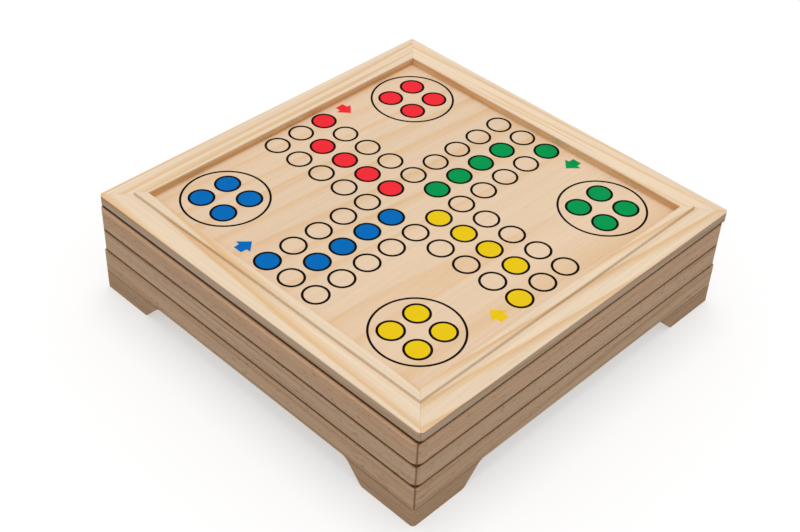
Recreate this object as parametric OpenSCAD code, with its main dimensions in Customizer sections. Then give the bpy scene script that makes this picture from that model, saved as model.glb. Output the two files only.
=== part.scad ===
// Stacked wooden game box. A ludo board lies on two storage trays, and these
// lie on a base tray with four corner bracket feet. Nothing is hinged: each
// layer has a raised lip round its opening, and the layer above has a shallower
// rebate that rests on that lip. This leaves an open slot between the layers,
// and the stack is taken apart by lifting.
//
// Each layer is a frame of four mitred rails cut from one moulding, with a
// plywood panel let into a rebate in their underside.
//
// Millimetres. The origin is on the floor under the centre of the box.
// X runs to the yellow arm of the board, Y to the green arm, Z is up.

/* [Box] */
// Outside width of every layer, along X and along Y
box_w = 340; // [280:1:420]
// Width of a rail, from its outer face to the opening
rail_w = 27; // [22:0.5:36]
// Radius along the outer edges of a rail
edge_r = 2.6; // [0.5:0.1:3]
// Radius along the bottom edge of the base tray, where the feet are glued
foot_edge_r = 0.8; // [0.2:0.1:1.5]
// Radius down the vertical corners of a layer
corner_r = 3.2; // [1:0.1:5]
// Width of the sloping strip along the top of a rail
bevel_w = 8.5; // [4:0.5:12]
// Drop of that strip at the outer edge
bevel_drop = 0.8; // [0:0.1:1]

/* [Layer heights] */
// Height of the side of the ludo board
board_h = 9.5; // [8.5:0.5:18]
// Height of the side of the upper tray
upper_h = 20.2; // [18:0.1:60]
// Height of the side of the lower tray
lower_h = 18.7; // [16:0.1:60]
// Height of the side of the base tray
base_h = 20.6; // [16:0.1:60]

/* [Lips that locate the layers] */
// Width of the lip round an opening
lip_w = 8; // [6:0.5:12]
// Height of the lip above the rail
lip_h = 2.6; // [2.2:0.1:4]
// Height of the open slot between two layers
shadow_gap = 1.4; // [0.8:0.1:2]
// Width of the lip under the rail that rests on it
lip_bears = 3; // [2:0.5:4]
// Radius on the two top edges of the lip
lip_r = 0.9; // [0.3:0.1:1.4]
// Sideways clearance between a lip and the rebate over it
nest_gap = 2.2; // [0.8:0.1:3]
// Height left free between a lip and the panel over it
nest_air = 0.3; // [0.2:0.1:1]
// Sideways clearance that is left where the ludo board has slipped towards Y
slip_left = 0.4; // [0.2:0.1:0.8]

/* [Panels] */
// Thickness of the plywood panels
panel_t = 4; // [3:0.1:5]
// Clearance between a panel's edge and the rail
panel_gap = 0.3; // [0.1:0.1:1]

/* [Feet] */
// Height of a corner foot
foot_h = 17; // [10:0.5:40]
// Length of a foot's leg on the floor, from the corner
foot_len = 50; // [35:1:80]
// Extra length of a leg at the top, along its slanted cut
foot_run = 15.5; // [6:0.5:30]
// Width of a leg that reaches under the rebate of the base panel
foot_under = 2; // [1.2:0.1:4]
// Radius at the toe, where the cut starts
toe_r = 4; // [2:0.5:8]
// Radius at the neck, where the cut runs into the base tray
neck_r = 5; // [2:0.5:8]

/* [Dividers] */
// Thickness of a divider slat
slat_t = 4; // [3:0.5:8]
// Height left free over the slats
slat_air = 2.6; // [1:0.1:4]
// Clearance on each side of the halved joint
slot_gap = 0.15; // [0.1:0.05:0.5]

/* [Pawns and dice] */
// Height of a pawn
pawn_h = 24; // [20:0.5:30]
// Diameter of a pawn's foot
pawn_d = 12.5; // [10:0.5:15]
// Diameter of a pawn's head
head_d = 9.4; // [7:0.2:11]
// Diameter of the neck under the head
neck_d = 5; // [4:0.2:6]
// Radius round the rim of a pawn's foot
rim_r = 1; // [0.5:0.1:1.4]
// Distance from one pawn to the next in a row
pawn_pitch = 17; // [16:0.5:24]
// Edge length of a die
die_w = 14; // [10:0.5:16]
// Diameter of the ball that rounds a die's corners
die_ball = 20.5; // [16:0.5:24]
// Space left free round a loose piece
loose_gap = 0.3; // [0.1:0.1:1]
// Distance from a rail to the first loose piece
corner_gap = 6; // [4:0.5:20]

/* [Hidden] */
$fn = 48;

// Quarter turns that take the front rail, on the -Y side, to each side
FRONT = 0;
RIGHT = 1;
BACK = 2;
LEFT = 3;

// Height of the rebate that rests on the lip of the layer below
nest_h = lip_h - shadow_gap;
// Height of a tray's panel over the underside of its rails
panel_up = nest_h + nest_air;
// Width of the rebate that a panel's edge lies in
seat_w = lip_w - lip_bears;
// Distance that the ludo board lies off centre, towards Y
board_slip = nest_gap - slip_left;
// Inside edge of the frames, and edge of the panels
open_w = box_w - 2 * rail_w;
panel_w = open_w + 2 * (seat_w - panel_gap);
// Distance from the outer face of a rail to its lip
lip_in = rail_w - lip_w;
// Width of a leg of the feet
foot_w = rail_w - seat_w + foot_under;

// Height at which each layer stands
base_z = foot_h;
lower_z = base_z + base_h + shadow_gap;
upper_z = lower_z + lower_h + shadow_gap;
board_z = upper_z + upper_h + shadow_gap;
// Top of the upper tray's floor, which carries the dividers and the pawns
upper_floor = upper_z + panel_up + panel_t;
// Height of a divider slat, under the panel of the ludo board
slat_h = upper_h + shadow_gap - panel_t - slat_air;

pine = [0.90, 0.79, 0.62];
pine_side = [0.72, 0.57, 0.42];
birch = [0.93, 0.84, 0.68];
blue = [0.04, 0.30, 0.62];
yellow = [0.90, 0.76, 0.12];
green = [0.08, 0.55, 0.30];
red = [0.84, 0.16, 0.17];
ivory = [0.95, 0.93, 0.86];

// ---- rails and panels

// Section of a rail of side height h, outer face at x = 0. The nesting
// rebate is under high, the panel lies seat_at up, and low_r rounds the
// bottom edge.
module rail_section(h, under, seat_at, low_r) {
    top = h + lip_h;
    side_top = h - bevel_drop;
    difference() {
        union() {
            polygon([
                [low_r, 0], [rail_w, 0], [rail_w, h], [bevel_w, h],
                [edge_r, side_top], [0, side_top - edge_r], [0, low_r]
            ]);
            translate([low_r, low_r]) circle(low_r);
            translate([edge_r, side_top - edge_r]) circle(edge_r);
            lip_section(h, top);
        }
        // rebate that rests on the lip below, with its clearance
        if (under > 0)
            translate([lip_in - nest_gap, -1])
                square([lip_w + nest_gap + 1, under + 1]);
        // rebate for the panel's edge
        translate([rail_w - seat_w, -1])
            square([seat_w + 1, seat_at + panel_t + 1]);
    }
}

// Lip with two rounded edges
module lip_section(h, top) {
    polygon([
        [lip_in, h - 1], [rail_w, h - 1], [rail_w, top - lip_r],
        [rail_w - lip_r, top], [lip_in + lip_r, top], [lip_in, top - lip_r]
    ]);
    translate([lip_in + lip_r, top - lip_r]) circle(lip_r);
    translate([rail_w - lip_r, top - lip_r]) circle(lip_r);
}

// Plan of a layer: a square with rounded corners
module plan() {
    at = box_w / 2 - corner_r;
    square([box_w, 2 * at], center = true);
    square([2 * at, box_w], center = true);
    for (x = [-at, at], y = [-at, at])
        translate([x, y]) circle(corner_r);
}

// One rail, mitred at both ends, turned to its side of the box
module rail(h, side, under = nest_h, seat_at = panel_up, low_r = edge_r) {
    tall = h + lip_h + 2;
    rotate(90 * side)
        intersection() {
            translate([0, -box_w / 2, 0])
                rotate([90, 0, 90])
                    linear_extrude(box_w, center = true)
                        rail_section(h, under, seat_at, low_r);
            translate([0, 0, -1])
                linear_extrude(tall)
                    polygon([[0, 0], [-box_w, -box_w], [box_w, -box_w]]);
            translate([0, 0, -1])
                linear_extrude(tall)
                    plan();
        }
}

// Plywood panel with its underside at z = 0
module panel() {
    translate([-panel_w / 2, -panel_w / 2, 0])
        cube([panel_w, panel_w, panel_t]);
}

module ludo_at() {
    translate([0, board_slip, board_z]) children();
}

module ludo_panel() {
    color(birch) ludo_at() translate([0, 0, panel_up]) panel();
}

module ludo_rail_front() {
    color(pine) ludo_at() rail(board_h, FRONT);
}

module ludo_rail_right() {
    color(pine) ludo_at() rail(board_h, RIGHT);
}

module ludo_rail_back() {
    color(pine) ludo_at() rail(board_h, BACK);
}

module ludo_rail_left() {
    color(pine) ludo_at() rail(board_h, LEFT);
}

module upper_panel() {
    color(birch) translate([0, 0, upper_z + panel_up]) panel();
}

module upper_rail_front() {
    color(pine_side) translate([0, 0, upper_z]) rail(upper_h, FRONT);
}

module upper_rail_right() {
    color(pine_side) translate([0, 0, upper_z]) rail(upper_h, RIGHT);
}

module upper_rail_back() {
    color(pine_side) translate([0, 0, upper_z]) rail(upper_h, BACK);
}

module upper_rail_left() {
    color(pine_side) translate([0, 0, upper_z]) rail(upper_h, LEFT);
}

module lower_panel() {
    color(birch) translate([0, 0, lower_z + panel_up]) panel();
}

module lower_rail_front() {
    color(pine_side) translate([0, 0, lower_z]) rail(lower_h, FRONT);
}

module lower_rail_right() {
    color(pine_side) translate([0, 0, lower_z]) rail(lower_h, RIGHT);
}

module lower_rail_back() {
    color(pine_side) translate([0, 0, lower_z]) rail(lower_h, BACK);
}

module lower_rail_left() {
    color(pine_side) translate([0, 0, lower_z]) rail(lower_h, LEFT);
}

// The base tray rests on no lip, so its panel is flush with its rails
module base_rail(side) {
    translate([0, 0, base_z])
        rail(base_h, side, under = 0, seat_at = 0, low_r = foot_edge_r);
}

module base_panel() {
    color(birch) translate([0, 0, base_z]) panel();
}

module base_rail_front() {
    color(pine_side) base_rail(FRONT);
}

module base_rail_right() {
    color(pine_side) base_rail(RIGHT);
}

module base_rail_back() {
    color(pine_side) base_rail(BACK);
}

module base_rail_left() {
    color(pine_side) base_rail(LEFT);
}

// ---- feet

// Side view of a leg: x from the corner, y from the floor. The slanted cut
// starts in a rounded toe and runs out in a hollow neck under the rail.
module leg_side() {
    slant = atan2(foot_h, foot_run);
    toe_t = toe_r * tan(slant / 2);
    neck_t = neck_r * tan(slant / 2);
    toe = [foot_len, 0];
    neck = [foot_len + foot_run, foot_h];
    along = [cos(slant), sin(slant)];
    polygon([
        [0, 0], toe - [toe_t, 0], toe + toe_t * along, neck, [0, foot_h]
    ]);
    translate(toe + [-toe_t, toe_r]) circle(toe_r);
    difference() {
        polygon([
            neck - [2, 0], neck + [neck_t, 0],
            neck + [neck_t, -neck_r], neck - neck_t * along
        ]);
        translate(neck + [neck_t, -neck_r]) circle(neck_r);
    }
}

// Leg along X with its outer face on the plane y = 0
module leg() {
    translate([0, foot_w, 0])
        rotate([90, 0, 0])
            linear_extrude(foot_w)
                leg_side();
}

// Foot under the corner that the quarter turns take the front left one to
module foot(corner) {
    rotate(90 * corner)
        intersection() {
            translate([-box_w / 2, -box_w / 2, 0]) {
                leg();
                mirror([1, -1, 0]) leg();
            }
            translate([0, 0, -1])
                linear_extrude(foot_h + 1)
                    plan();
        }
}

module foot_front_left() {
    color(pine_side) foot(0);
}

module foot_front_right() {
    color(pine_side) foot(1);
}

module foot_back_right() {
    color(pine_side) foot(2);
}

module foot_back_left() {
    color(pine_side) foot(3);
}

// ---- dividers of the upper tray, halved into each other

module slat(slot_from) {
    translate([-open_w / 2, -slat_t / 2, 0])
        difference() {
            cube([open_w, slat_t, slat_h]);
            translate([open_w / 2 - slat_t / 2 - slot_gap, -1, slot_from])
                cube([slat_t + 2 * slot_gap, slat_t + 2, slat_h / 2 + 1]);
        }
}

module divider_long() {
    color(birch) translate([0, 0, upper_floor]) slat(slat_h / 2);
}

module divider_cross() {
    color(birch) translate([0, 0, upper_floor]) rotate(90) slat(-1);
}

// ---- pawns, lying on their sides in the upper tray

head_z = pawn_h - head_d / 2;
// Tilt of the axis when the rim and the head both touch the floor
reach = head_z - rim_r;
rim_at = pawn_d / 2 - rim_r;
pawn_tilt = acos((head_d / 2 - rim_r) / norm([rim_at, reach])) - atan2(reach, rim_at);
row_at = open_w / 2 - corner_gap - pawn_d / 2;

// Half section of a pawn: a foot with a rounded rim, a hollow cone, a ball
module pawn_section() {
    foot_top = 2 * rim_r;
    difference() {
        union() {
            square([rim_at, foot_top]);
            translate([rim_at, rim_r]) circle(rim_r);
            polygon([
                [0, rim_r], [pawn_d / 2 - 0.6 * rim_r, foot_top],
                [neck_d / 2 + 0.3, head_z], [0, head_z]
            ]);
            translate([0, head_z]) circle(head_d / 2);
        }
        // waist of the cone
        translate([pawn_d / 2 + pawn_h * 0.73, head_z * 0.56])
            circle(pawn_h * 0.85 - neck_d * 0.09);
        translate([-pawn_h, -1]) square([pawn_h, pawn_h + 2]);
    }
}

module pawn() {
    rotate_extrude() pawn_section();
}

// A pawn on its side, foot to the rail, over the point x of the row
module lying_pawn(x) {
    translate([x, open_w / 2 - corner_gap, upper_floor + loose_gap + rim_r])
        rotate([90 + pawn_tilt, 0, 0])
            translate([0, rim_at, -rim_r])
                pawn();
}

// Four pawns of one colour in the compartment of their yard
module pawn_row(corner) {
    rotate(90 * corner)
        for (i = [0:3])
            lying_pawn(row_at - i * pawn_pitch);
}

module pawns_green() {
    color(green) pawn_row(0);
}

module pawns_red() {
    color(red) pawn_row(1);
}

module pawns_blue() {
    color(blue) pawn_row(2);
}

module pawns_yellow() {
    color(yellow) pawn_row(3);
}

// Two dice in line with the yellow pawns
module dice() {
    color(ivory)
        rotate(270)
            for (i = [4, 5])
                translate([
                    row_at - i * pawn_pitch - (i - 4) * 2,
                    open_w / 2 - corner_gap - die_w / 2,
                    upper_floor + die_w / 2
                ])
                    intersection() {
                        cube(die_w, center = true);
                        sphere(d = die_ball);
                    }
}

ludo_panel();
ludo_rail_front();
ludo_rail_right();
ludo_rail_back();
ludo_rail_left();
upper_panel();
upper_rail_front();
upper_rail_right();
upper_rail_back();
upper_rail_left();
divider_long();
divider_cross();
pawns_blue();
pawns_yellow();
pawns_green();
pawns_red();
dice();
lower_panel();
lower_rail_front();
lower_rail_right();
lower_rail_back();
lower_rail_left();
base_panel();
base_rail_front();
base_rail_right();
base_rail_back();
base_rail_left();
foot_front_left();
foot_front_right();
foot_back_right();
foot_back_left();
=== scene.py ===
"""Looks of the stacked wooden ludo box: lacquered pine rails and feet, plywood
panels, the printed ludo pattern, painted pawns and ivory dice."""

import math

import bmesh
import bpy
from mathutils import Matrix, Vector


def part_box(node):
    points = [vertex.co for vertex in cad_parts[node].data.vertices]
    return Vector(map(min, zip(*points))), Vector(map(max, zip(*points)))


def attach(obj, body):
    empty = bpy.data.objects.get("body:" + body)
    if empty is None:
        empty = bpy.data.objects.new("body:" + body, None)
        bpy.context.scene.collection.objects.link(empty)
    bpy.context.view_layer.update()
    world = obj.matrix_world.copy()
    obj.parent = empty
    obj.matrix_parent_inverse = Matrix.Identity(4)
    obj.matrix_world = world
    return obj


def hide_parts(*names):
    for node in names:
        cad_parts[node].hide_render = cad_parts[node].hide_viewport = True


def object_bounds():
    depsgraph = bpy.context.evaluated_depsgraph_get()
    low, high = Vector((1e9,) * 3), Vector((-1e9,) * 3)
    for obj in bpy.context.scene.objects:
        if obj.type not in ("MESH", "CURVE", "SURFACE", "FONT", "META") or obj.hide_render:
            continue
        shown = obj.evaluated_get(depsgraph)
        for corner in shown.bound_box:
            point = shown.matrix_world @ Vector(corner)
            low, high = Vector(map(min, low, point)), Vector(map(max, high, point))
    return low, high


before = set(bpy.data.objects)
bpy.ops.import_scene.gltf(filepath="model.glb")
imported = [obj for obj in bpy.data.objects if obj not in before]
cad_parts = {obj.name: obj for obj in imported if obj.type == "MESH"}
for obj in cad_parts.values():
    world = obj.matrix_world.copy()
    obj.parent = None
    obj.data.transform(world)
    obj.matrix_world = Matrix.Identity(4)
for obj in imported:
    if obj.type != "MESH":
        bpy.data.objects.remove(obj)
CAD_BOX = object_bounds()

MM = 0.001

# Sizes read from the model
PANEL_LOW, PANEL_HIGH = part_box("ludo_panel")
PRINT_Z = PANEL_HIGH.z
BOARD_CENTRE = (PANEL_LOW + PANEL_HIGH) / 2
BOX_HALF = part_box("base_rail_front")[0].y * -1
BOARD_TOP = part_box("ludo_rail_front")[1].z
OPEN_HALF = BOARD_CENTRE.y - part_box("ludo_rail_front")[1].y

# Section of the rails, which the model's boxes don't give
LIP_W = 8 * MM
LIP_H = 2.6 * MM
LIP_ROUND = 0.9 * MM
NEST_GAP = 2.2 * MM
NEST_H = 1.2 * MM  # rebate that rests on the lip below
PANEL_UP = 1.5 * MM  # panel over the underside of its rails
SEAT_W = 5 * MM
SLOPE_W = 8.5 * MM  # sloping strip along the top of a rail
SLOPE_DROP = 0.8 * MM

# Rounding of each layer's upper edge, lower edge and corners
ROUNDING = {
    "ludo": (0.5 * MM, 0.6 * MM, 4.0 * MM), "upper": (1.5 * MM, 0.5 * MM, 6.4 * MM),
    "lower": (1.3 * MM, 0.5 * MM, 6.4 * MM), "base": (1.3 * MM, 0.6 * MM, 3.4 * MM),
}
LOWER_FACETS = 3
UPPER_FACETS = 6
LIP_FACETS = 4
CORNER_CUTS = 5  # on each side of a mitre

# The printed pattern, in pitches of its grid
PITCH = 25.5 * MM
PRINT_SHIFT = Vector((-3.0 * MM, 2.1 * MM, 0))  # the print sits a little off centre
CROSS_TURN = math.radians(0.56)
ARM = 5  # fields from the centre to an arm's end
FIELD_R = 0.415  # outside radius of a field
FIELD_LINE = 0.076
FIELD_FACETS = 56
YARD_AT = 4.0
YARD_R = 1.38
YARD_LINE = 0.068
YARD_FACETS = 96
YARD_FIELD_AT = 0.506
ARROW = [
    (-0.20, 0.155), (0.0, 0.17), (0.01, 0.315), (0.355, 0.0),
    (0.01, -0.315), (0.0, -0.17), (-0.20, -0.155),
]
ARROW_AT = 5.09
ARROW_ASIDE = 1.96
GREEN_ASIDE = 2.01  # the green arrow stands a little further out
ARROWS = {
    "blue": (-ARROW_ASIDE, -ARROW_AT, 90), "red": (-ARROW_AT, ARROW_ASIDE, 0),
    "green": (GREEN_ASIDE, ARROW_AT, -90), "yellow": (ARROW_AT, -ARROW_ASIDE, 180),
}
INK = 0.05 * MM
LINE_INK = 0.09 * MM

# Dice, in widths of a die
PIP_AT = 0.22
PIP_R = (0.075, 0.07)  # at its foot and on top
PIP_PAINT = 0.08 * MM
PIP_FACETS = 20
PIPS = {
    1: [(0, 0)], 2: [(-1, -1), (1, 1)], 3: [(-1, -1), (0, 0), (1, 1)],
    4: [(-1, -1), (-1, 1), (1, -1), (1, 1)],
    5: [(-1, -1), (-1, 1), (1, -1), (1, 1), (0, 0)],
    6: [(-1, -1), (-1, 0), (-1, 1), (1, -1), (1, 0), (1, 1)],
}
DIE_FACES = {"Z": (5, 2), "X": (6, 1), "Y": (4, 3)}  # opposite faces add up to seven

# Camera, placed as in the photograph, from the middle of the print
CAMERA_AT = Vector((572.6, -629.2, 655.5)) * MM
CAMERA_TO = Vector((42.0, -59.2, 0.0)) * MM
CAMERA_ROLL = math.radians(2.73)
CAMERA_LENS = 63.26

# Studio: the tent's strength from low to high, a soft key light, and the paper
TENT_RISE = (-0.05, 0.45)
TENT_STRENGTH = (0.23, 0.74)
KEY_TOWARD = (0.13, -0.16, -1.0)
KEY_STRENGTH = 1.05
KEY_SOFTNESS = 34  # degrees
PAPER_REACH = 12
PAPER_GLOW = 0.5


def hue(red, green, blue):
    """A colour given by its screen values, as linear light."""
    def linear(v):
        v /= 255
        return v / 12.92 if v <= 0.04045 else ((v + 0.055) / 1.055) ** 2.4
    return (linear(red), linear(green), linear(blue), 1.0)


# Looks of the wood. early and late are the colours across a growth ring,
# ring_gap is its width and warp how far it wanders, seam is how wide in
# millimetres and how dark a joint shows down a corner, and fibre, pore,
# streak, ring_depth and bump are strengths.
PINE = {
    "early": hue(236, 213, 184), "late": hue(222, 174, 112), "ring_gap": 9.0 * MM,
    "ring_depth": 0.85, "fibre": 0.08, "pore": 0.05, "streak": 0.08, "warp": 15.0 * MM,
    "roughness": 0.55, "bump": 0.12, "seam": (0.4, 0.4),
}
TRAY_PINE = dict(PINE, early=hue(246, 204, 166), late=hue(218, 165, 122), ring_gap=6.0 * MM,
                 ring_depth=0.5, fibre=0.13, pore=0.40, streak=0.25, seam=(1.5, 0.75))
LOOKS = {
    "ludo": PINE,
    "upper": dict(TRAY_PINE, streak=0.10, ring_depth=0.35),
    "lower": dict(TRAY_PINE, early=hue(243, 206, 171), streak=0.55),
    "base": dict(TRAY_PINE, early=hue(240, 202, 165), streak=0.35, ring_depth=0.6),
}
FOOT_PINE = dict(TRAY_PINE, early=hue(220, 180, 144), late=hue(196, 148, 110), pore=0.25,
                 streak=0.30)
PLYWOOD = {
    "early": hue(231, 203, 172), "late": hue(226, 186, 138), "ring_gap": 21.0 * MM,
    "ring_depth": 0.7, "fibre": 0.05, "pore": 0.05, "streak": 0.05, "warp": 34.0 * MM,
    "roughness": 0.55, "bump": 0.05,
}
WOOD_SHINE = 0.16
GRAIN_DEPTH = 0.25 * MM

# How often the wood's marks repeat, per metre across the grain and along it
DRIFT = (1.0, 0.06)
FIBRES = (420.0, 9.0)
STREAKS = (230.0, 2.2)
PORES = (820.0, 170.0)
THREADS = (500.0, 14.0)  # faint threads in paint and ink

# Wear, glue, and painted shade in the slots and the recess. A pair is how far from
# its edge or line a mark begins to fade in or out, and where the fade ends.
RIM_DOWN = (2.6 * MM, 0.9 * MM)
RIM_IN = (3.0 * MM, 0.6 * MM)
RIM_WEAR = 0.55
UNSHADED_EDGE = 0.8 * MM  # outer edge of a tray's top, which the painted slot shade doesn't reach
# painted shade on a tray's top, in the slot under the layer above
TOP_SHADE_BEGINS = (0.1 * MM, 0.9 * MM)
TOP_SHADE_ENDS = (2.4 * MM, 4.0 * MM)
TOP_SHADE_DOWN = (1.3 * MM, 0.9 * MM)
TOP_SHADE = 0.8
# painted shade along a layer's bottom edge, in the slot below it
SLOT_SHADE_UP = (0.8 * MM, 1.6 * MM)
SLOT_SHADE = 0.95
GLUE_DOWN = (0.7 * MM, 0.2 * MM)
GLUE = 0.6
MITRE_ASIDE = (0.08 * MM, 0.34 * MM)
MITRE_GLUE = 0.25
CORNER_IN = (4.2 * MM, 2.6 * MM)
SEAM_CORE = 0.3  # of the seam's width
EDGE_IN = (1.2 * MM, 0.3 * MM)
EDGE_DULLING = 0.75
# painted warm shade on the inner face of the board's recess
RECESS_OUT = (0.1 * MM, 0.6 * MM)
RECESS_DOWN = (1.1 * MM, 0.7 * MM)
RECESS_SHADE = 0.8

# Colours of paint and ink, and the shade they turn to in patches
COLOURS = {
    "blue": (hue(0, 106, 184), hue(0, 98, 174)),
    "red": (hue(240, 46, 56), hue(232, 38, 48)),
    "green": (hue(0, 150, 78), hue(0, 141, 72)),
    "yellow": (hue(233, 198, 22), hue(227, 190, 16)),
}

# The four sides of a layer, and the axis that a rail's grain follows there
SIDES = {"front": "X", "right": "Y", "back": "X", "left": "Y"}
LAYERS = {
    "ludo": ("ludo_board", "board_rail"), "upper": ("upper_tray", "upper_rail"),
    "lower": ("lower_tray", "lower_rail"), "base": ("base_tray", "base_rail"),
}

# Growth rings of each layer's rails, front, right, back and left: the pith in
# millimetres from the rail's own place, and its lean in degrees
RINGS = {
    "ludo": [((40, 34, -46), 1.2), ((26, -30, -38), 2.8),
             ((30, 52, -30), -2.0), ((-44, 10, -40), 2.2)],
    "upper": [((10, 70, 30), 0.8), ((60, 20, 40), 1.4),
              ((0, -60, 20), 1.0), ((50, 0, 34), -1.2)],
    "lower": [((30, 40, 18), 0.5), ((44, 50, 12), -1.0),
              ((0, -44, 10), 1.4), ((-60, 0, 18), 0.9)],
    "base": [((0, 56, 24), 1.1), ((-50, 30, 30), -1.6),
             ((20, 48, 12), 0.8), ((46, 20, 10), 1.3)],
}
SIDE_LEAN = 0.4  # of a rail's lean, about the upright axis

# Grain of the panels and dividers: its axis, the pith in millimetres and its
# lean in degrees
SHEETS = {
    "ludo_panel": ("Y", (70, 0, 26), (1.6, 0, 4.0)),
    "upper_panel": ("Y", (-40, 0, 0), (1.2, 0, -2.0)),
    "lower_panel": ("Y", (10, 0, -10), (1.8, 0, 1.5)),
    "base_panel": ("Y", (90, 0, -30), (1.4, 0, 3.0)),
    "divider_long": ("X", (0, 20, 60), (0, 1, 0)),
    "divider_cross": ("Y", (24, 0, 56), (1, 0, 0)),
}


# Node helpers

def feed(tree, socket, value):
    """Links a socket to another, or sets it."""
    if isinstance(value, bpy.types.NodeSocket):
        tree.links.new(value, socket)
    else:
        socket.default_value = value


def node(tree, kind, sockets=None, **settings):
    made = tree.nodes.new("ShaderNode" + kind)
    for key, value in settings.items():
        setattr(made, key, value)
    for key, value in (sockets or {}).items():
        feed(tree, made.inputs[key], value)
    return made


def calc(tree, operation, a, b=0.0):
    made = node(tree, "Math", operation=operation)
    feed(tree, made.inputs[0], a)
    feed(tree, made.inputs[1], b)
    return made.outputs[0]


def vector_calc(tree, operation, a, b):
    made = node(tree, "VectorMath", operation=operation)
    feed(tree, made.inputs[0], a)
    feed(tree, made.inputs["Scale" if operation == "SCALE" else 1], b)
    return made.outputs[0]


def spread(tree, value, low, high, to_low=0.0, to_high=1.0):
    """Maps low to high onto another range, and stops at its ends."""
    made = node(tree, "MapRange", {
        "Value": value, "From Min": low, "From Max": high,
        "To Min": to_low, "To Max": to_high,
    })
    return made.outputs["Result"]


def near_edge(tree, value, edge, pair, to_low=0.0, to_high=1.0):
    """Maps the stretch between two distances short of an edge."""
    return spread(tree, value, edge - pair[0], edge - pair[1], to_low, to_high)


def mix(tree, amount, under, over, how="MIX"):
    made = node(tree, "Mix", data_type="RGBA", blend_type=how)
    feed(tree, made.inputs[0], amount)
    feed(tree, made.inputs[6], under)
    feed(tree, made.inputs[7], over)
    return made.outputs[2]


def ramp(tree, value, stops):
    made = node(tree, "ValToRGB", {"Fac": value})
    points = made.color_ramp.elements
    while len(points) < len(stops):
        points.new(0.5)
    for point, (at, colour) in zip(points, stops):
        point.position = at
        point.color = colour
    return made.outputs["Color"]


def noise(tree, at, scale, detail=2.0, roughness=0.5, out="Fac"):
    made = node(tree, "TexNoise", {
        "Vector": at, "Scale": scale, "Detail": detail, "Roughness": roughness,
    })
    return made.outputs[out]


def drawn_out(tree, at, along, repeats):
    """Coordinates that repeat often across the grain and seldom along it."""
    across, lengthwise = repeats
    scale = [across] * 3
    scale["XYZ".index(along)] = lengthwise
    return node(tree, "Mapping", {"Vector": at, "Scale": scale}).outputs["Vector"]


def start_material(name, roughness, coat=0.0, coat_roughness=0.3, specular=0.5):
    made = bpy.data.materials.new(name)
    made.use_nodes = True
    tree = made.node_tree
    tree.nodes.clear()
    shader = node(tree, "BsdfPrincipled", {
        "Roughness": roughness, "Coat Weight": coat,
        "Coat Roughness": coat_roughness, "Specular IOR Level": specular,
    })
    end = node(tree, "OutputMaterial")
    tree.links.new(shader.outputs["BSDF"], end.inputs["Surface"])
    at = node(tree, "TexCoord").outputs["Object"]
    return made, tree, shader, at


def finish_bump(tree, shader, height, strength, depth):
    made = node(tree, "Bump", {
        "Height": height, "Strength": strength, "Distance": depth,
    })
    tree.links.new(made.outputs["Normal"], shader.inputs["Normal"])


# Grain of the wood

def growth_rings(tree, lean, drift, along, look):
    """(colour, ring) of rings that circle the pith line and wander slowly."""
    wander = noise(tree, drift, 22, detail=2.5, out="Color")
    off = vector_calc(tree, "SUBTRACT", wander, (0.5, 0.5, 0.5))
    bent = vector_calc(tree, "ADD", lean, vector_calc(tree, "SCALE", off, look["warp"]))
    # a ring texture of scale 1 has a ring every tau / 20
    ring = node(tree, "TexWave", {
        "Vector": bent, "Scale": math.tau / 20 / look["ring_gap"],
        "Distortion": 0.0, "Detail": 0.0,
    }, wave_type="RINGS", rings_direction=along, wave_profile="SAW").outputs["Fac"]
    grain = ramp(tree, ring, [
        (0.0, look["early"]), (0.50, look["early"]), (0.86, look["late"]), (0.97, look["early"]),
    ])
    colour = mix(tree, look["ring_depth"], look["early"], grain)
    # the rings differ in strength along the board
    patch = noise(tree, drift, 9, detail=1.0)
    return mix(tree, spread(tree, patch, 0.35, 0.7, 0.0, 0.55), colour, look["early"]), ring


def fibres_and_pores(tree, at, colour, along, look):
    """(colour, fibre) with fine fibres, faint streaks and short dark pores."""
    fibre = noise(tree, drawn_out(tree, at, along, FIBRES), 1.0, detail=3.0, roughness=0.65)
    shade = spread(tree, fibre, 0.3, 0.7, 1 - look["fibre"], 1 + look["fibre"] * 0.5)
    colour = mix(tree, 1.0, colour, shade, "MULTIPLY")
    streak = noise(tree, drawn_out(tree, at, along, STREAKS), 1.0, detail=2.5)
    colour = mix(tree, spread(tree, streak, 0.56, 0.70, 0.0, look["streak"]),
                 colour, hue(158, 110, 76))
    pore = noise(tree, drawn_out(tree, at, along, PORES), 1.0, detail=1.0)
    colour = mix(tree, spread(tree, pore, 0.62, 0.74, 0.0, look["pore"]),
                 colour, hue(136, 92, 60))
    return colour, fibre


def sawn_wood(tree, at, look, along, pith, tilt):
    """(colour, fibre, ring) of wood whose growth rings circle a pith line.
    along is the grain's axis, pith a point of the pith line in millimetres and
    tilt its lean in degrees."""
    lean = node(tree, "Mapping", {
        "Vector": at, "Location": Vector(pith) * -MM,
        "Rotation": [math.radians(v) for v in tilt],
    }).outputs["Vector"]
    drift = drawn_out(tree, lean, along, DRIFT)
    colour, ring = growth_rings(tree, lean, drift, along, look)
    colour, fibre = fibres_and_pores(tree, at, colour, along, look)
    tone = noise(tree, drift, 5, detail=2.0)
    colour = mix(tree, 1.0, colour, spread(tree, tone, 0.3, 0.7, 0.94, 1.05), "MULTIPLY")
    return colour, fibre, ring


def lacquer(tree, shader, look, colour, fibre, ring):
    """Gives the shader the wood's colour, and its fibre in gloss and relief."""
    tree.links.new(colour, shader.inputs["Base Color"])
    rough = spread(tree, fibre, 0.3, 0.7, look["roughness"] - 0.05, look["roughness"] + 0.08)
    tree.links.new(rough, shader.inputs["Roughness"])
    height = calc(tree, "ADD", calc(tree, "MULTIPLY", fibre, 0.6),
                  calc(tree, "MULTIPLY", ring, 0.25))
    finish_bump(tree, shader, height, look["bump"], GRAIN_DEPTH)


# Marks of use and of the maker's work, and painted shade

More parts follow.
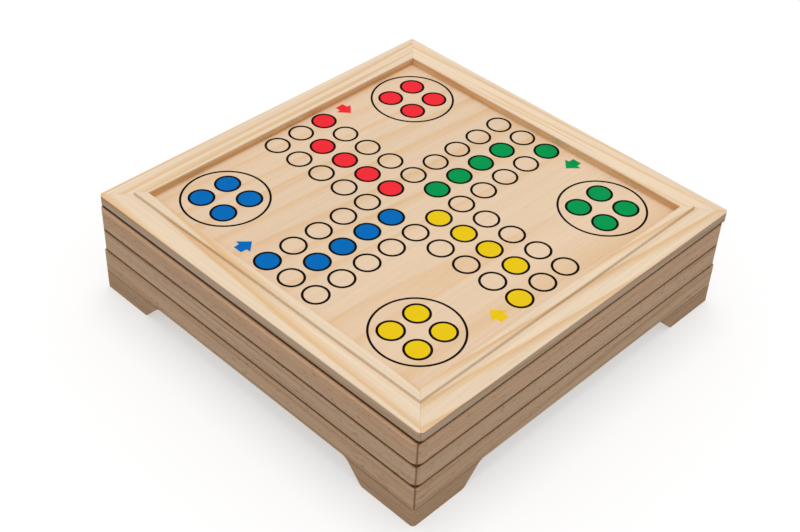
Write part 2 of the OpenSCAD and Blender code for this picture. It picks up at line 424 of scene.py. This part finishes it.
def handled_rim(tree, colour, up, outer, top):
    """The handled upper edge of a tray has gone darker and warmer."""
    rim = calc(tree, "MULTIPLY", near_edge(tree, up, top, RIM_DOWN),
               near_edge(tree, outer, BOX_HALF, RIM_IN))
    return mix(tree, calc(tree, "MULTIPLY", rim, RIM_WEAR), colour, hue(206, 150, 104))


def slot_top_shade(tree, colour, up, outer, top, unshaded):
    """Painted shade on a tray's top, in the slot under the layer above.
    unshaded is the width of the edge that it doesn't reach."""
    inward = calc(tree, "SUBTRACT", BOX_HALF, outer)
    begins, full = TOP_SHADE_BEGINS
    fades, ends = TOP_SHADE_ENDS
    line = calc(tree, "MULTIPLY", spread(tree, inward, unshaded + begins, unshaded + full),
                spread(tree, inward, unshaded + fades, unshaded + ends, 1.0, 0.0))
    line = calc(tree, "MULTIPLY", line, near_edge(tree, up, top, TOP_SHADE_DOWN, 0.0, TOP_SHADE))
    return mix(tree, line, colour, hue(74, 40, 18))


def slot_painted_shade(tree, colour, up, low):
    """Painted shade along the bottom edge, in the slot between two layers."""
    full, ends = SLOT_SHADE_UP
    return mix(tree, spread(tree, up, low + full, low + ends, SLOT_SHADE, 0.0),
               colour, hue(58, 29, 11))


def mitre_lines(tree, colour, wide, deep, seam):
    """A hairline of glue in the mitres, wider and darker down the corners."""
    apart = calc(tree, "ABSOLUTE", calc(tree, "SUBTRACT", wide, deep))
    core, ends = MITRE_ASIDE
    colour = mix(tree, spread(tree, apart, core, ends, MITRE_GLUE, 0.0),
                 colour, hue(120, 82, 50))
    corner = near_edge(tree, calc(tree, "MINIMUM", wide, deep), BOX_HALF, CORNER_IN)
    reach, dark = seam
    line = calc(tree, "MULTIPLY", corner,
                spread(tree, apart, SEAM_CORE * reach * MM, reach * MM, dark, 0.0))
    return mix(tree, line, colour, hue(152, 104, 74))


def dull_edge(tree, colour, outer):
    """The board's edge is duller than its face."""
    duller = mix(tree, 1.0, colour, hue(255, 244, 240), "MULTIPLY")
    return mix(tree, near_edge(tree, outer, BOX_HALF, EDGE_IN, 0.0, EDGE_DULLING),
               colour, duller)


def recess_painted_shade(tree, colour, up, outer):
    """Painted warm shade on the inner face of the board's recess, as light bounced off the wood
    warms it there.
    """
    full, ends = RECESS_OUT
    inside = calc(tree, "MULTIPLY",
                  spread(tree, outer, OPEN_HALF + full, OPEN_HALF + ends, 1.0, 0.0),
                  near_edge(tree, up, BOARD_TOP, RECESS_DOWN, 1.0, 0.0))
    warm_shade = mix(tree, 1.0, colour, hue(255, 226, 184), "MULTIPLY")
    return mix(tree, calc(tree, "MULTIPLY", inside, RECESS_SHADE), colour, warm_shade)


# Wood of the rails, sheets and feet

def rail_wood(name, layer, along, pith, tilt):
    look = LOOKS[layer]
    made, tree, shader, at = start_material(name, look["roughness"], specular=WOOD_SHINE)
    colour, fibre, ring = sawn_wood(tree, at, look, along, pith, tilt)
    low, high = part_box(name)
    place = node(tree, "SeparateXYZ", {"Vector": at}).outputs
    up = place["Z"]
    wide = calc(tree, "ABSOLUTE", place["X"])
    middle = BOARD_CENTRE.y if layer == "ludo" else 0.0
    deep = calc(tree, "ABSOLUTE", calc(tree, "SUBTRACT", place["Y"], middle))
    outer = calc(tree, "MAXIMUM", wide, deep)
    if layer != "ludo":
        top = high.z - LIP_H
        # the board is slipped back, and bares more of the tray's top at the front, so the painted
        # slot shade begins further in there
        unshaded = BOARD_CENTRE.y if name == "upper_rail_front" else UNSHADED_EDGE
        colour = handled_rim(tree, colour, up, outer, top)
        # painted shade on the tray's top, in the slot under the layer above
        colour = slot_top_shade(tree, colour, up, outer, top, unshaded)
    if layer != "base":
        # painted shade along the layer's bottom edge, in the slot below it
        colour = slot_painted_shade(tree, colour, up, low.z)
    colour = mitre_lines(tree, colour, wide, deep, look["seam"])
    if layer == "ludo":
        colour = dull_edge(tree, colour, outer)
        # painted warm shade on the inner face of the recess
        colour = recess_painted_shade(tree, colour, up, outer)
    lacquer(tree, shader, look, colour, fibre, ring)
    return made


def sheet_wood(name, along, pith, tilt):
    made, tree, shader, at = start_material(name, PLYWOOD["roughness"], specular=WOOD_SHINE)
    colour, fibre, ring = sawn_wood(tree, at, PLYWOOD, along, pith, tilt)
    lacquer(tree, shader, PLYWOOD, colour, fibre, ring)
    return made


def along_legs(tree, at):
    """Swaps X and Y over the legs that run along Y, so that the grain is long
    on both legs of a foot."""
    place = node(tree, "SeparateXYZ", {"Vector": at}).outputs
    wide = calc(tree, "ABSOLUTE", place["X"])
    deep = calc(tree, "ABSOLUTE", place["Y"])
    swapped = node(tree, "CombineXYZ", {"X": place["Y"], "Y": place["X"], "Z": place["Z"]})
    made = node(tree, "Mix", data_type="VECTOR")
    feed(tree, made.inputs[0], calc(tree, "GREATER_THAN", wide, deep))
    feed(tree, made.inputs[4], at)
    feed(tree, made.inputs[5], swapped.outputs["Vector"])
    return made.outputs[1]


def foot_wood(name, pith, tilt):
    """Foot with its grain along both legs, and a glue line under the base tray."""
    made, tree, shader, at = start_material(name, FOOT_PINE["roughness"], specular=WOOD_SHINE)
    at = along_legs(tree, at)
    colour, fibre, ring = sawn_wood(tree, at, FOOT_PINE, "X", pith, tilt)
    up = node(tree, "SeparateXYZ", {"Vector": at}).outputs["Z"]
    glue = near_edge(tree, up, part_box(name)[1].z, GLUE_DOWN, 0.0, GLUE)
    colour = mix(tree, glue, colour, hue(120, 80, 52))
    lacquer(tree, shader, FOOT_PINE, colour, fibre, ring)
    return made


# Paint, ink and plastic

def painted(name, colour, deep, roughness, coat=0.0, grain=0.0, blot=0.35):
    """An even colour that still varies a little, as print and paint do. Print
    is duller than paint."""
    made, tree, shader, at = start_material(name, roughness, coat, 0.12,
                                            specular=0.5 if coat else 0.03)
    cloud = noise(tree, at, 60, detail=3.0)
    tint = mix(tree, spread(tree, cloud, 0.3, 0.7, 0.0, blot), colour, deep)
    thread = noise(tree, drawn_out(tree, at, "Y", THREADS), 1.0, detail=3.0)
    if grain:
        tint = mix(tree, 1.0, tint, spread(tree, thread, 0.3, 0.7, 1 - grain, 1 + grain),
                   "MULTIPLY")
    tree.links.new(tint, shader.inputs["Base Color"])
    rub = noise(tree, at, 240, detail=4.0)
    tree.links.new(spread(tree, rub, 0.3, 0.7, roughness - 0.04, roughness + 0.07),
                   shader.inputs["Roughness"])
    finish_bump(tree, shader, calc(tree, "ADD", thread, rub), 0.08, 0.1 * MM)
    return made


def put_on(name, material):
    """Gives a node of the model its material."""
    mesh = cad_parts[name].data
    if not mesh.materials:
        mesh.materials.append(material)
    for i in range(len(mesh.materials)):
        mesh.materials[i] = material


# Pieces

def start_piece(name, material):
    """An empty piece, which close_piece fills."""
    mesh = bpy.data.meshes.new(name)
    piece = bpy.data.objects.new(name, mesh)
    bpy.context.scene.collection.objects.link(piece)
    mesh.materials.append(material)
    return piece


def close_piece(piece, bm, body, slot):
    bmesh.ops.recalc_face_normals(bm, faces=bm.faces)
    bm.to_mesh(piece.data)
    bm.free()
    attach(piece, body)


def pull_out(bm, faces, way):
    """Extrudes faces along a vector."""
    moved = bmesh.ops.extrude_face_region(bm, geom=faces)["geom"]
    bmesh.ops.translate(bm, vec=way, verts=[v for v in moved if isinstance(v, bmesh.types.BMVert)])


# Rails, run from one moulding and mitred

def rail_profile(layer, wide, side_h):
    """(inwards, up) round the crisp section of a rail, from its lower outer
    edge."""
    lip_at = wide - LIP_W
    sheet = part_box(layer + "_panel")
    seat_top = (sheet[1].z - sheet[0].z) + (0 if layer == "base" else PANEL_UP)
    under = [(wide - SEAT_W, 0)] if layer == "base" else [
        (lip_at - NEST_GAP, 0), (lip_at - NEST_GAP, NEST_H), (wide - SEAT_W, NEST_H)]
    return [(0, 0)] + under + [
        (wide - SEAT_W, seat_top), (wide, seat_top), (wide, side_h + LIP_H),
        (lip_at, side_h + LIP_H), (lip_at, side_h), (SLOPE_W, side_h), (0, side_h - SLOPE_DROP),
    ]


def round_along(bm, at, radius, facets):
    """Rounds the long edge that runs through the section's point at."""
    run = [e for e in bm.edges
           if all(abs(v.co.y - at[0]) < 1e-6 and abs(v.co.z - at[1]) < 1e-6 for v in e.verts)]
    bmesh.ops.bevel(bm, geom=run, offset=radius, offset_type="OFFSET", segments=facets,
                    profile=0.5, affect="EDGES", material=-1)


def saw(bm, at, away):
    """Cuts off what lies beyond a plane, and closes the cut."""
    cut = bmesh.ops.bisect_plane(
        bm, geom=bm.verts[:] + bm.edges[:] + bm.faces[:], dist=1e-7,
        plane_co=at, plane_no=away, clear_outer=True)["geom_cut"]
    edges = [e for e in cut if isinstance(e, bmesh.types.BMEdge)]
    if edges:
        bmesh.ops.edgeloop_fill(bm, edges=edges)


def saw_end(bm, sign, corner_r):
    """Cuts one end of a rail to its mitre, then sands the corner round."""
    saw(bm, (sign * BOX_HALF, 0, 0), (sign, 1, 0))
    middle = Vector((sign * (BOX_HALF - corner_r), corner_r, 0))
    for cut in range(1, CORNER_CUTS + 1):
        turn = math.radians(45 * cut / CORNER_CUTS)
        away = Vector((sign * math.sin(turn), -math.cos(turn), 0))
        saw(bm, middle + away * corner_r, away)


def run_rail(layer, side, quarter):
    """One mitred rail, which stands for its node."""
    node_name = f"{layer}_rail_{side}"
    low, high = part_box(node_name)
    wide = (high.y - low.y) if side in ("front", "back") else (high.x - low.x)
    side_h = high.z - low.z - LIP_H
    upper_r, lower_r, corner_r = ROUNDING[layer]
    bm = bmesh.new()
    end = bm.faces.new([bm.verts.new((-BOX_HALF, u, z))
                        for u, z in rail_profile(layer, wide, side_h)])
    pull_out(bm, [end], (2 * BOX_HALF, 0, 0))
    round_along(bm, (0, 0), lower_r, LOWER_FACETS)
    round_along(bm, (0, side_h - SLOPE_DROP), upper_r, UPPER_FACETS)
    round_along(bm, (wide - LIP_W, side_h + LIP_H), LIP_ROUND, LIP_FACETS)
    round_along(bm, (wide, side_h + LIP_H), LIP_ROUND, LIP_FACETS)
    for sign in (-1, 1):
        saw_end(bm, sign, corner_r)
    bmesh.ops.recalc_face_normals(bm, faces=bm.faces)
    centre = BOARD_CENTRE.y if layer == "ludo" else 0.0
    place = (Matrix.Translation((0, centre, low.z))
             @ Matrix.Rotation(math.radians(90 * quarter), 4, "Z")
             @ Matrix.Translation((0, -BOX_HALF, 0)))
    bmesh.ops.transform(bm, matrix=place, verts=bm.verts)

    pith, lean = RINGS[layer][quarter]
    along = SIDES[side]
    tilt = (0, lean, lean * SIDE_LEAN) if along == "X" else (lean, 0, lean * SIDE_LEAN)
    made = rail_wood(node_name, layer, along, (low + high) / 2 / MM + Vector(pith), tilt)
    piece = start_piece(f"{layer}_moulding_{side}", made)
    body, slot = LAYERS[layer]
    close_piece(piece, bm, body, slot)
    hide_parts(node_name)


# The print

def grid_point(x, y, turned=True):
    """A place of the printed grid, on the panel. The cross is turned a little,
    and the yards are not."""
    at = Vector((x, y, 0)) * PITCH
    if turned:
        at = Matrix.Rotation(CROSS_TURN, 3, "Z") @ at
    at += BOARD_CENTRE + PRINT_SHIFT
    at.z = PRINT_Z
    return at


def arm_fields():
    """(x, y, colour or None) of every field of the cross."""
    arms = {"yellow": (1, 0), "green": (0, 1), "red": (-1, 0), "blue": (0, -1)}
    for colour, (ax, ay) in arms.items():
        sx, sy = -ay, ax  # a step to the arm's left, seen from the centre
        for out in range(1, ARM):
            yield ax * out, ay * out, colour
        yield ax * ARM, ay * ARM, None
        # the start field lies at the end of the arm, on its right
        yield ax * ARM - sx, ay * ARM - sy, colour
        yield ax * ARM + sx, ay * ARM + sy, None
        for out in range(2, ARM):
            yield ax * out + sx, ay * out + sy, None
            yield ax * out - sx, ay * out - sy, None
        yield ax + sx, ay + sy, None


def yard_fields():
    """(x, y, colour) of every field of the four yards."""
    yards = {"yellow": (1, -1), "green": (1, 1), "red": (-1, 1), "blue": (-1, -1)}
    for colour, (sx, sy) in yards.items():
        for dx in (-1, 1):
            for dy in (-1, 1):
                yield (sx * YARD_AT + dx * YARD_FIELD_AT,
                       sy * YARD_AT + dy * YARD_FIELD_AT, colour)


def printed_fields():
    """(place, colour or None) of every field of the print."""
    for x, y, colour in arm_fields():
        yield grid_point(x, y), colour
    for x, y, colour in yard_fields():
        yield grid_point(x, y, turned=False), colour


def add_disc(bm, at, radius):
    bmesh.ops.create_cone(
        bm, cap_ends=True, segments=FIELD_FACETS, radius1=radius, radius2=radius,
        depth=INK, matrix=Matrix.Translation(at + Vector((0, 0, INK / 2))))


def add_ring(bm, at, radius, line, facets=FIELD_FACETS):
    """A flat printed line round a field."""
    edges = []
    for r in (radius, radius - line):
        made = bmesh.ops.create_circle(
            bm, cap_ends=False, segments=facets, radius=r, matrix=Matrix.Translation(at))
        edges += list({e for v in made["verts"] for e in v.link_edges})
    pull_out(bm, bmesh.ops.bridge_loops(bm, edges=edges)["faces"], (0, 0, LINE_INK))


def add_arrow(bm, at, heading):
    """A stubby arrow with a short, slightly tapered shaft."""
    turn = Matrix.Rotation(heading + CROSS_TURN, 4, "Z")
    verts = [bm.verts.new(turn @ (Vector((x, y, 0)) * PITCH) + at) for x, y in ARROW]
    pull_out(bm, [bm.faces.new(verts)], (0, 0, INK))


def print_colour(colour):
    """The discs and the arrow of one colour."""
    paint, deep = COLOURS[colour]
    ink = painted(f"{colour}_ink", paint, deep, 0.55, grain=0.025)
    piece = start_piece(f"print_{colour}", ink)
    bm = bmesh.new()
    for at, which in printed_fields():
        if which == colour:
            add_disc(bm, at, (FIELD_R - FIELD_LINE / 2) * PITCH)
    x, y, heading = ARROWS[colour]
    add_arrow(bm, grid_point(x, y), math.radians(heading))
    close_piece(piece, bm, "ludo_board", f"pawn_{colour}")


def print_outlines():
    """The black lines round the fields and the yards."""
    black = painted("outline_ink", hue(14, 8, 4), hue(24, 15, 8), 0.6)
    piece = start_piece("print_outlines", black)
    bm = bmesh.new()
    for at, _ in printed_fields():
        add_ring(bm, at, FIELD_R * PITCH, FIELD_LINE * PITCH)
    for sx in (-1, 1):
        for sy in (-1, 1):
            add_ring(bm, grid_point(sx * YARD_AT, sy * YARD_AT, turned=False),
                     YARD_R * PITCH, YARD_LINE * PITCH, YARD_FACETS)
    close_piece(piece, bm, "ludo_board", "plywood")


# Dice

def pip_dice():
    low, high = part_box("dice")
    width = high.z - low.z
    across = (low.x + high.x) / 2
    ink = painted("pip_paint", hue(24, 22, 24), hue(40, 36, 36), 0.3)
    piece = start_piece("dice_pips", ink)
    bm = bmesh.new()
    for y in (low.y + width / 2, high.y - width / 2):
        centre = Vector((across, y, low.z + width / 2))
        for axis, pair in DIE_FACES.items():
            for count, sign in zip(pair, (1, -1)):
                way = Vector([sign if a == axis else 0 for a in "XYZ"])
                turn = way.to_track_quat("Z", "Y").to_matrix().to_4x4()
                for u, v in PIPS[count]:
                    spot = turn @ Vector((u * width * PIP_AT, v * width * PIP_AT, width / 2))
                    place = Matrix.Translation(centre + spot) @ turn
                    bmesh.ops.create_cone(
                        bm, cap_ends=True, segments=PIP_FACETS, radius1=width * PIP_R[0],
                        radius2=width * PIP_R[1], depth=PIP_PAINT, matrix=place)
    close_piece(piece, bm, "upper_tray", "die")


# Floor, light and camera

def lay_floor():
    mesh = bpy.data.meshes.new("floor")
    floor = bpy.data.objects.new("floor", mesh)
    bpy.context.scene.collection.objects.link(floor)
    bm = bmesh.new()
    bmesh.ops.create_grid(bm, x_segments=2, y_segments=2, size=PAPER_REACH)
    bmesh.ops.translate(bm, verts=bm.verts, vec=(0, 0, CAD_BOX[0].z))
    bm.to_mesh(mesh)
    bm.free()
    made, tree, shader, at = start_material("paper", 0.9, specular=0.1)
    tree.links.new(mix(tree, noise(tree, at, 3), hue(189, 189, 189), hue(187, 187, 187)),
                   shader.inputs["Base Color"])
    shader.inputs["Emission Color"].default_value = (1, 1, 1, 1)
    shader.inputs["Emission Strength"].default_value = PAPER_GLOW
    mesh.materials.append(made)
    # the paper is lit and takes shadows, and throws no light back up
    floor.visible_diffuse = False
    floor.visible_glossy = False


def sun(name, toward, strength, softness):
    """A broad light that shines along toward."""
    data = bpy.data.lights.new(name, "SUN")
    data.energy = strength
    data.angle = math.radians(softness)
    lamp = bpy.data.objects.new(name, data)
    lamp.rotation_mode = "QUATERNION"
    lamp.rotation_quaternion = Vector(toward).to_track_quat("-Z", "Y")
    bpy.context.scene.collection.objects.link(lamp)


def light_studio():
    """A bright tent overhead, the dimmer light that the paper throws back, and
    a key light."""
    world = bpy.data.worlds.new("studio")
    world.use_nodes = True
    tree = world.node_tree
    tree.nodes["Background"].inputs["Color"].default_value = (1, 1, 1, 1)
    rise = node(tree, "SeparateXYZ", {"Vector": node(tree, "TexCoord").outputs["Generated"]})
    tree.links.new(spread(tree, rise.outputs["Z"], *TENT_RISE, *TENT_STRENGTH),
                   tree.nodes["Background"].inputs["Strength"])
    bpy.context.scene.world = world
    sun("key_light", KEY_TOWARD, KEY_STRENGTH, KEY_SOFTNESS)
    bpy.context.scene.view_settings.view_transform = "Standard"


def place_camera():
    print_middle = Vector((BOARD_CENTRE.x, BOARD_CENTRE.y, PRINT_Z))
    ahead = (CAMERA_TO - CAMERA_AT).normalized()
    level = ahead.cross(Vector((0, 0, 1))).normalized()
    upright = level.cross(ahead)
    right = level * math.cos(CAMERA_ROLL) + upright * math.sin(CAMERA_ROLL)
    up = right.cross(ahead)
    turn = Matrix((right, up, -ahead)).transposed()
    data = bpy.data.cameras.new("camera")
    data.lens = CAMERA_LENS
    camera = bpy.data.objects.new("camera", data)
    camera.matrix_world = Matrix.Translation(print_middle + CAMERA_AT) @ turn.to_4x4()
    bpy.context.scene.collection.objects.link(camera)
    bpy.context.scene.camera = camera


for layer in LAYERS:
    for quarter, side in enumerate(SIDES):
        run_rail(layer, side, quarter)
for name, (along, pith, tilt) in SHEETS.items():
    put_on(name, sheet_wood(name, along, pith, tilt))
# each foot is cut from another place of the board
for i, corner in enumerate(("front_left", "front_right", "back_right", "back_left")):
    foot = "foot_" + corner
    put_on(foot, foot_wood(foot, (0, -150 + 11 * i, 34), (0, 1.5, 0.5 * i)))
for colour, (paint, deep) in COLOURS.items():
    put_on(f"pawns_{colour}", painted(f"{colour}_gloss", paint, deep, 0.22, coat=0.6, blot=0.2))
put_on("dice", painted("ivory", hue(242, 236, 218), hue(232, 222, 198), 0.2, coat=0.4))
print_outlines()
for colour in COLOURS:
    print_colour(colour)
pip_dice()
lay_floor()
light_studio()
place_camera()
